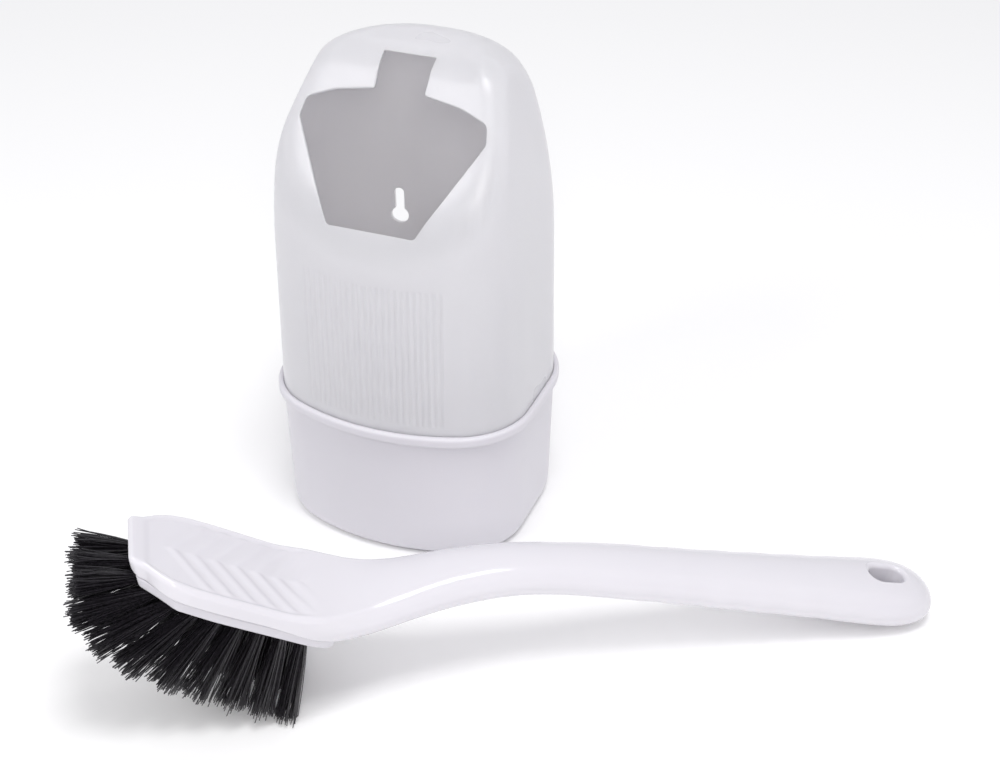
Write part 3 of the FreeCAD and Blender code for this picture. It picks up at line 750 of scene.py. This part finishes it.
def section_columns():
    """Side and level, each from -1 to 1, and direction of each column, anticlockwise."""
    quarter = np.linspace(0, math.pi / 2, CORNER_COLUMNS)
    across = np.linspace(1, -1, TOP_COLUMNS + 2)[1:-1]
    under = np.linspace(-1, 1, UNDER_COLUMNS + 2)[1:-1]
    down = np.linspace(1, -1, SIDE_COLUMNS + 2)[1:-1]
    pieces = [
        (np.ones(CORNER_COLUMNS), np.ones(CORNER_COLUMNS), quarter),
        (across, np.ones(TOP_COLUMNS), np.full(TOP_COLUMNS, math.pi / 2)),
        (-np.ones(CORNER_COLUMNS), np.ones(CORNER_COLUMNS), quarter + math.pi / 2),
        (-np.ones(SIDE_COLUMNS), down, np.full(SIDE_COLUMNS, math.pi)),
        (-np.ones(CORNER_COLUMNS), -np.ones(CORNER_COLUMNS), quarter + math.pi),
        (under, -np.ones(UNDER_COLUMNS), np.full(UNDER_COLUMNS, -math.pi / 2)),
        (np.ones(CORNER_COLUMNS), -np.ones(CORNER_COLUMNS), quarter - math.pi / 2),
        (np.ones(SIDE_COLUMNS), -down, np.zeros(SIDE_COLUMNS)),
    ]
    return [np.concatenate(part) for part in zip(*pieces)]


def handle_rings():
    """Rings of the handle in the brush frame, from the nose to the tail."""
    side, level, turn = section_columns()
    u = along[:, None]
    tail = np.clip((u - TAIL_START) / (TAIL_END - TAIL_START), 0, 1)
    closing = (1 - tail**TAIL_POWER) ** (1 / TAIL_POWER)
    into_nose = np.clip(NOSE_EASE - (u - HEAD_START), 0, NOSE_EASE)
    nose_inset = NOSE_EASE - np.sqrt(NOSE_EASE**2 - into_nose**2)
    half = eased(HALF_WIDTH, along)[:, None] * closing - nose_inset - ripple(u)
    thick = eased(HALF_THICKNESS, along)[:, None] * closing - nose_inset
    largest_edge = EDGE_SHARE * np.minimum(half, thick)
    edge = np.minimum(np.where(level > 0, TOP_EDGE, UNDER_EDGE), largest_edge)
    a = side * (half - edge) + edge * np.cos(turn)
    b = level * (thick - edge) + edge * np.sin(turn)
    oval = OVAL_SHARE * fade(u, OVAL_FROM, OVAL_TO)
    pull = 1 - oval + oval / np.hypot(a / half, b / thick)
    a = a * pull
    b = b * pull
    down_slope = (u - HEAD_START) / math.cos(HEAD_PITCH)
    on_top = (level > 0) * fade(np.sin(turn), 0.9, 1.0)
    b = b + on_top * head_relief(down_slope, a, half)
    lean = np.radians(eased(LEAN, along))[:, None]
    nose = NOSE_BACK / BLOCK_FLOOR * (thick - b) * (1 - fade(down_slope, 0.0, NOSE_REACH))
    height = eased(SPINE, along)[:, None]
    return np.stack([
        u - b * np.sin(lean) + nose * np.cos(lean),
        a,
        height + b * np.cos(lean) + nose * np.sin(lean),
    ], axis=-1)


rings = handle_rings()
print("handle's lowest point:", round(rings[..., 2].min(), 2), "mm")

# %% [markdown]
# ## The hanging hole
# Near the end a long round hole goes square through the grip so that the brush can hang from a
# hook. Its lips are well rounded on both faces. The cutter is a stadium outline whose rings grow
# towards both faces.

# %% Make the handle and cut its hole
HOLE_U = 332.0
HOLE_HALF_LENGTH = 8.5
HOLE_RADIUS = 5.5
HOLE_LIP = 2.4
HOLE_CROWN = 0.9
HOLE_OUTSIDE = 8.0
hole_height, hole_thick = [eased(table, np.array([HOLE_U]))[0] for table in (SPINE, HALF_THICKNESS)]


def hanging_hole_cutter():
    """A stadium swept square through the grip, which flares on a quarter round at both faces."""
    turn = np.linspace(0, 2 * math.pi, 64, endpoint=False)
    shift = np.where(np.cos(turn) > 0, 1, -1) * (HOLE_HALF_LENGTH - HOLE_RADIUS)
    face = hole_thick - HOLE_CROWN
    bend = np.sin(np.linspace(0, math.pi / 2, 9)) * HOLE_LIP
    heights = np.concatenate([
        [-face - HOLE_OUTSIDE],
        HOLE_LIP - face - bend[::-1],
        face - HOLE_LIP + bend,
        [face + HOLE_OUTSIDE],
    ])[:, None]
    reach = HOLE_RADIUS + lip_growth(np.abs(heights) - face, HOLE_LIP)
    lengthways = shift + reach * np.cos(turn)
    lean = math.radians(LEAN_GRIP)
    rows = np.stack([
        HOLE_U + lengthways * math.cos(lean) - heights * math.sin(lean),
        reach * np.sin(turn),
        hole_height + lengthways * math.sin(lean) + heights * math.cos(lean),
    ], axis=-1)
    return skin("hanging_hole_cutter", brush_to_floor(rows))


handle = skin("brush_body", brush_to_floor(rings))
carve(handle, [hanging_hole_cutter()])
shade(handle, 40.0)
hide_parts("brush_handle")
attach(handle, "brush")
print("brush body:", len(handle.data.polygons), "faces")

# %% [markdown]
# ## The bristle block
# Under the head's plate sits a thinner plate, drilled for the tufts and closed from behind, with a
# fine seam all round. It follows the head's plan a little inside it. It is an eased outline with
# three kinds of row: a rounded lower edge, the upright side, and a small ease at the top that opens
# the seam.

# %% Make the bristle block
BLOCK_TOP = -8.0
BLOCK_EDGE = 1.4
SEAM_EASE = 0.8
BLOCK_SIDE_LEVELS = [-11.0, -10.0, -9.0]
BLOCK_NOSE_REACH = 40.0
BLOCK_PLAN = [
    # down the slope, half width, ease
    (0.0, 15.0, 2.0),
    (20.0, 24.2, 14.0),
    (42.0, 25.1, 60.0),
    (84.0, 24.0, 40.0),
    (96.0, 21.6, 8.0),
]


def block_rings():
    """Rings of the block in the head frame: the plan, drawn in where the edges are rounded."""
    far = np.array(BLOCK_PLAN)[::-1]
    near = np.array(BLOCK_PLAN) * np.array([1, -1, 1])
    corners = np.vstack([near, far])
    outline = rounded(corners[:, :2], corners[:, 2], spacing=1.6, closed=True)
    bend = np.linspace(0, math.pi / 2, 7)
    levels = np.concatenate([
        -BLOCK_FLOOR + BLOCK_EDGE * (1 - np.cos(bend)),
        BLOCK_SIDE_LEVELS,
        BLOCK_TOP - SEAM_EASE * (1 - np.sin(bend)),
    ])
    inset = np.concatenate([
        BLOCK_EDGE * (1 - np.sin(bend)),
        np.zeros(len(BLOCK_SIDE_LEVELS)),
        SEAM_EASE * (1 - np.cos(bend)),
    ])
    plans = np.stack([grown(outline, -amount) for amount in inset])
    nose = NOSE_BACK / BLOCK_FLOOR * -levels[:, None] * (1 - fade(plans[..., 0], 0.0, BLOCK_NOSE_REACH))
    heights = np.broadcast_to(levels[:, None], nose.shape)
    return np.stack([plans[..., 0] + nose, plans[..., 1], heights], axis=-1)


block = skin("tuft_block", head_to_floor(block_rings()))
shade(block, 40.0)
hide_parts("bristle_block")
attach(block, "brush")
print("tuft block:", len(block.data.polygons), "faces")

# %% [markdown]
# ## The bristle tufts
# Twenty-seven tufts of black nylon, three rows of nine, fan out from the block: nearly straight
# down at the heel, far forward at the nose. A tuft is a bundle of cut filaments folded over a steel
# anchor, so all it needs is a root, a direction, a length and the size of its spread tip. Smooth
# powers of the place in the row give all four.

# %% Where the tufts stand
TUFTS_IN_A_ROW = 9
FIRST_TUFT = 8.3
TUFT_PITCH = 9.2
ROW_OFFSET = 16.5
NOSE_NARROWING = 6.5
NOSE_LEAN = 83.0
HEEL_LEAN = 14.0
SPLAY = 6.0
TUFT_LENGTH = 43.3
NOSE_SHORTENING = 17.5
TIP_RADIUS = 4.9
TIP_WIDENING = 0.8
MIDDLE_SPREAD = 2.2
FILAMENTS = 120
FILAMENT_RADIUS = 0.24
FILAMENT_STEPS = 6
ROOT_RADIUS = 2.1
TIP_CLEARANCE = 0.5
ROWS = (("left", -1), ("middle", 0), ("right", 1))
chance = np.random.default_rng(20)


def tuft_frame(column, side):
    """Root, direction, length and the two tip radii of one tuft, in the head frame.

    With q running from 1 at the nose to 0 at the heel, the lean forward is nose lean * q^1.5 less
    the heel's lean. The tips spread along the row, most in its middle, by a factor
    1 + spread * q(1 - q). Towards the nose the row narrows with q^6 and shortens with q^8.
    """
    q = 1 - column / (TUFTS_IN_A_ROW - 1)
    lean = math.radians(NOSE_LEAN * q**1.5 - HEEL_LEAN)
    splay = math.radians(SPLAY) * side
    x = FIRST_TUFT + TUFT_PITCH * column
    y = side * (ROW_OFFSET - NOSE_NARROWING * q**6)
    root = np.array([x, y, -BLOCK_FLOOR * min(1.0, x / NOSE_BACK)])
    direction = np.array([-math.sin(lean), math.sin(splay), -math.cos(lean) * math.cos(splay)])
    direction /= np.linalg.norm(direction)
    length = TUFT_LENGTH - NOSE_SHORTENING * q**8
    tip_radius = TIP_RADIUS + TIP_WIDENING * q
    return root, direction, length, tip_radius * (1 + MIDDLE_SPREAD * q * (1 - q)), tip_radius


# %% [markdown]
# ## From one root to a spray of filaments
# Hair particles could stand in for the filaments, but real geometry survives an export, so every
# filament is a slim three-sided tube. No two end alike: the trimming knife leaves them uneven, a
# few strays are shorter, and use bends them. A seeded generator draws those differences for all
# the filaments of a tuft at once, as arrays, so the brush comes out the same each time.

# %% Grow the filaments of one tuft
UNEVEN_CUT = 0.022
SHORT_STRAYS = 0.05
TIP_WANDER = 0.9
BOW = 0.55


def filament_paths(root, direction, length, tip_along, tip_beside):
    """Centre lines of a tuft's filaments, (filament, step, xyz).

    A filament runs from its place in the root disc to the same place in a wider tip oval, and
    bows by 4t(1 - t) times a small random offset. Where it would reach into the floor it is
    shortened by (height of root - clearance) / (height of root - height of tip).
    """
    radius = np.sqrt(chance.uniform(0, 1, FILAMENTS))
    turn = chance.uniform(0, 2 * math.pi, FILAMENTS)
    across = np.cross(direction, [0.0, 1.0, 0.0])
    across /= np.linalg.norm(across)
    beside = np.cross(direction, across)
    along_row = (radius * np.cos(turn))[:, None] * across
    beside_row = (radius * np.sin(turn))[:, None] * beside
    ragged = np.abs(chance.normal(0, UNEVEN_CUT, FILAMENTS))
    ragged = ragged + SHORT_STRAYS * chance.uniform(0, 1, FILAMENTS) ** 3
    stretch = length * (1 - ragged)
    wander = np.clip(chance.normal(0, TIP_WANDER, (FILAMENTS, 3)), -2 * TIP_WANDER, 2 * TIP_WANDER)
    bow = chance.normal(0, BOW, (FILAMENTS, 3))
    start = root + (along_row + beside_row) * ROOT_RADIUS
    end = root + direction * stretch[:, None] + along_row * tip_along + beside_row * tip_beside + wander
    root_height = head_to_floor(start)[:, 2]
    fall = np.maximum(root_height - head_to_floor(end)[:, 2], TIP_CLEARANCE)
    end = start + (end - start) * np.minimum(1, (root_height - TIP_CLEARANCE) / fall)[:, None]
    t = np.linspace(0, 1, FILAMENT_STEPS)[None, :, None]
    return start[:, None] + (end - start)[:, None] * t + bow[:, None] * 4 * t * (1 - t)


def tuft(name, paths):
    """A mesh of three-sided tubes, one along each path, closed at both ends."""
    count, steps = paths.shape[:2]
    run = paths[:, -1] - paths[:, 0]
    run /= np.linalg.norm(run, axis=1)[:, None]
    first = np.cross(run, [0.0, 1.0, 0.0])
    first /= np.linalg.norm(first, axis=1)[:, None]
    second = np.cross(run, first)
    turn = np.arange(3) * 2 * math.pi / 3
    around = np.cos(turn)[:, None] * first[:, None] + np.sin(turn)[:, None] * second[:, None]
    points = paths[:, :, None] + FILAMENT_RADIUS * around[:, None]
    index = np.arange(count * steps * 3).reshape(count, steps, 3)
    beside = np.roll(index, -1, axis=2)
    quads = np.stack([index[:, :-1], beside[:, :-1], beside[:, 1:], index[:, 1:]], axis=-1)
    ends = np.concatenate([index[:, 0, ::-1], index[:, -1]])
    mesh = bpy.data.meshes.new(name)
    points = head_to_floor(points).reshape(-1, 3) * MM
    mesh.from_pydata(points, [], quads.reshape(-1, 4).tolist() + ends.tolist())
    piece = bpy.data.objects.new(name, mesh)
    bpy.context.scene.collection.objects.link(piece)
    return piece


tufts = []
for row, side in ROWS:
    for column in range(TUFTS_IN_A_ROW):
        bundle = tuft(f"bristles_{row}_{column + 1}", filament_paths(*tuft_frame(column, side)))
        shade(bundle, 75.0)
        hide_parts(f"tuft_{row}_{column + 1}")
        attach(bundle, "brush")
        tufts.append(bundle)
print(len(tufts), "tufts of", FILAMENTS, "filaments")

# %% [markdown]
# ## Finishes
# Colours are written the way a designer reads them, as sRGB hex, and one function turns them into
# the linear values that a shader works with. Another adds a node with its settings and its links.
# Pattern sizes are given in millimetres on the real surface.

# %% Colour and node helpers
def linear(code):
    """Linear RGBA of an sRGB hex code: c / 12.92 below 0.04045, else ((c + 0.055) / 1.055)^2.4."""
    channels = np.array([int(code[i:i + 2], 16) for i in (1, 3, 5)]) / 255
    low = channels / 12.92
    high = ((channels + 0.055) / 1.055) ** 2.4
    return (*np.where(channels < 0.04045, low, high).tolist(), 1.0)


def add_node(material, kind, inputs, **settings):
    """Add a node, set its settings, and give each named input a value or a link from a socket."""
    node = material.node_tree.nodes.new(kind)
    for key, value in settings.items():
        setattr(node, key, value)
    for key, value in inputs.items():
        if isinstance(value, bpy.types.NodeSocket):
            material.node_tree.links.new(value, node.inputs[key])
        else:
            node.inputs[key].default_value = value
    return node


def new_material(name):
    """An empty node material and its object coordinates, which are metres on the piece."""
    material = bpy.data.materials.new(name)
    material.use_nodes = True
    material.node_tree.nodes.clear()
    place = add_node(material, "ShaderNodeTexCoord", {}).outputs["Object"]
    return material, place


def per_mm(size):
    """Texture scale for a pattern whose features are size millimetres apart."""
    return 1.0 / (size * MM)


# %% [markdown]
# ## Moulded polypropylene
# Polypropylene has an IOR of 1.49. Filled with white pigment it is nearly opaque, with a little
# light soaking in under the skin that softens its shadows. The hood is a thin wall with light on
# both sides, so its light soaks furthest. The mould's surface decides the gloss: the cup and the
# hood come from a satin mould, the brush from a polished one. Two very quiet patterns keep it
# from looking like paint: a slow drift of gloss and tone where the melt flowed, tens of
# millimetres across, and a fine texture from the tool steel. Real tool marks are about 0.1 mm,
# too fine to show here, so they are drawn at 0.7 mm and kept faint.

# %% Polypropylene
GLOSS_DRIFT = 0.03
FLOW_SIZE = 45.0
TOOL_MARK_SIZE = 0.7


def polypropylene(name, tone, deep_tone, gloss, texture_depth, soak, soak_share):
    """White moulded polypropylene whose tone and gloss drift a little.

    The texture depth and the soak are in mm. The soak is how far light travels under the skin,
    and its share is how much of the light does so.
    """
    material, place = new_material(name)
    flow = add_node(material, "ShaderNodeTexNoise",
                    {"Vector": place, "Scale": per_mm(FLOW_SIZE), "Detail": 2.0, "Roughness": 0.4})
    drift = flow.outputs["Fac"]
    colour = add_node(material, "ShaderNodeMix",
                      {"Factor": drift, "A": linear(deep_tone), "B": linear(tone)},
                      data_type="RGBA")
    roughness = add_node(material, "ShaderNodeMapRange",
                         {"Value": drift, "From Min": 0.3, "From Max": 0.7,
                          "To Min": gloss - GLOSS_DRIFT, "To Max": gloss + GLOSS_DRIFT})
    grain = add_node(material, "ShaderNodeTexNoise",
                     {"Vector": place, "Scale": per_mm(TOOL_MARK_SIZE), "Detail": 3.0, "Roughness": 0.6})
    bump = add_node(material, "ShaderNodeBump",
                    {"Height": grain.outputs["Fac"], "Strength": 0.35, "Distance": texture_depth * MM})
    shader = add_node(material, "ShaderNodeBsdfPrincipled", {
        "Base Color": colour.outputs["Result"],
        "Roughness": roughness.outputs["Result"],
        "Normal": bump.outputs["Normal"],
        "IOR": 1.49,
        "Subsurface Weight": soak_share,
        "Subsurface Radius": (1.0, 0.97, 0.95),
        "Subsurface Scale": soak * MM,
    })
    add_node(material, "ShaderNodeOutputMaterial", {"Surface": shader.outputs["BSDF"]})
    return material


satin_cup = polypropylene("satin_polypropylene_cup", "#D9D7DD", "#D5D3D9", 0.40, 0.02, 3.0, 0.8)
satin_hood = polypropylene("satin_polypropylene_hood", "#E0DEE3", "#DCDAE0", 0.30, 0.02, 10.0, 0.92)
polished_body = polypropylene("polished_polypropylene_brush", "#DFDDE2", "#DBD9DF", 0.13, 0.012, 1.5, 0.5)
# The block is the body's polypropylene in a darker tone: painted shade for the shadow under the head's
# plate. Its higher roughness is its own finish.
polished_block_painted_shade = polypropylene("polished_polypropylene_block_painted_shade", "#D3D1D7", "#CFCDD3", 0.26, 0.012, 1.5, 0.5)
print("four polypropylene finishes")

# %% [markdown]
# ## Black nylon filament and steel
# Bristle is extruded nylon, IOR 1.53, coloured through with carbon black. A drawn filament is
# smooth along its length, so a bundle shows long thin glints over a nearly black body. Each
# filament differs a little in tone, and a noise a few filaments wide gives that. The anchors are
# flat bright steel wire, seen only at the roots, with fine drawing lines.

# %% Nylon and steel
TONE_SPREAD = 1.2
DRAWING_LINE = 0.15


def nylon_filament():
    """Black nylon with a quiet change of tone from filament to filament."""
    material, place = new_material("black_nylon_filament")
    spread = add_node(material, "ShaderNodeTexNoise",
                      {"Vector": place, "Scale": per_mm(TONE_SPREAD), "Detail": 1.0})
    tone = add_node(material, "ShaderNodeMapRange",
                    {"Value": spread.outputs["Fac"], "From Min": 0.35, "From Max": 0.65})
    colour = add_node(material, "ShaderNodeMix",
                      {"Factor": tone.outputs["Result"], "A": linear("#141216"), "B": linear("#2A272D")},
                      data_type="RGBA")
    shader = add_node(material, "ShaderNodeBsdfPrincipled",
                      {"Base Color": colour.outputs["Result"], "Roughness": 0.38, "IOR": 1.53})
    add_node(material, "ShaderNodeOutputMaterial", {"Surface": shader.outputs["BSDF"]})
    return material


def drawn_steel():
    """Bright flat wire with fine lines along it from the drawing die."""
    material, place = new_material("drawn_steel_wire")
    stretch = add_node(material, "ShaderNodeMapping", {"Vector": place, "Scale": (1.0, 0.05, 1.0)})
    lines = add_node(material, "ShaderNodeTexNoise",
                     {"Vector": stretch.outputs["Vector"], "Scale": per_mm(DRAWING_LINE), "Detail": 2.0})
    roughness = add_node(material, "ShaderNodeMapRange",
                         {"Value": lines.outputs["Fac"], "To Min": 0.22, "To Max": 0.38})
    shader = add_node(material, "ShaderNodeBsdfPrincipled", {
        "Base Color": linear("#C8C6C2"),
        "Metallic": 1.0,
        "Roughness": roughness.outputs["Result"],
    })
    add_node(material, "ShaderNodeOutputMaterial", {"Surface": shader.outputs["BSDF"]})
    return material


nylon = nylon_filament()
steel = drawn_steel()
print("nylon and steel")

# %% [markdown]
# ## Dressing the pieces
# Each piece takes its own finish. The steel anchors keep their CAD shape, because a folded strip
# of wire has nothing to add, so only their material slot is changed.

# %% Give every piece its finish
def dress(piece, material):
    """Put one material on a piece, in place of whatever it had."""
    piece.data.materials.clear()
    piece.data.materials.append(material)


dress(drip_cup, satin_cup)
dress(hood, satin_hood)
dress(handle, polished_body)
dress(block, polished_block_painted_shade)
for bundle in tufts:
    dress(bundle, nylon)
anchors = frame["nodes"]["tuft_anchors"]
dress(anchors, steel)
print("every piece has a finish")

# %% [markdown]
# ## The studio
# White on white needs a bright, even room: a pale floor, a pale sky that fills the shadows, and
# three soft boxes. The key is in front on the left, where the hood's slope mirrors it towards
# the camera. A smaller box in front on the right lights the side walls, and one overhead is
# small enough to draw a clear streak along the polished grip. The floor reflects light into the
# undersides, which is why it is large and nearly white.

# %% Floor, sky and soft boxes
FLOOR_HALF = 6.0


def floor_plane():
    """A square of pale floor at the level that the set stands on."""
    corners = np.array([(-1, -1, 0), (1, -1, 0), (1, 1, 0), (-1, 1, 0)]) * FLOOR_HALF
    mesh = bpy.data.meshes.new("floor")
    mesh.from_pydata(corners, [], [(0, 1, 2, 3)])
    floor = bpy.data.objects.new("floor", mesh)
    bpy.context.scene.collection.objects.link(floor)
    material, _ = new_material("pale_studio_floor")
    shader = add_node(material, "ShaderNodeBsdfDiffuse", {"Color": linear("#FEFEFE")})
    add_node(material, "ShaderNodeOutputMaterial", {"Surface": shader.outputs["BSDF"]})
    dress(floor, material)


def soft_box(name, place, aim, size, power, tint):
    """A square area light at a place, in metres, turned to face its aim."""
    light = bpy.data.lights.new(name, "AREA")
    light.size = size
    light.energy = power
    light.color = linear(tint)[:3]
    lamp = bpy.data.objects.new(name, light)
    lamp.location = place
    lamp.rotation_euler = (Vector(aim) - Vector(place)).to_track_quat("-Z", "Y").to_euler()
    bpy.context.scene.collection.objects.link(lamp)


def pale_sky(strength):
    """An even white surround."""
    world = bpy.data.worlds.new("pale_sky")
    world.use_nodes = True
    background = world.node_tree.nodes["Background"]
    background.inputs["Color"].default_value = linear("#FCFCFF")
    background.inputs["Strength"].default_value = strength
    bpy.context.scene.world = world


floor_plane()
soft_box("key_box", (-0.66, -1.15, 1.29), (0, -0.05, 0.15), 0.5, 4.4, "#FFFFFF")
soft_box("front_box", (0.56, -1.18, 0.91), (0, -0.05, 0.1), 0.35, 3.8, "#FFFBF8")
soft_box("top_box", (0.36, -0.36, 1.6), (0, -0.05, 0.1), 0.5, 8.8, "#FFFFFF")
pale_sky(0.68)
bpy.context.scene.view_settings.view_transform = "Standard"
print("studio ready")
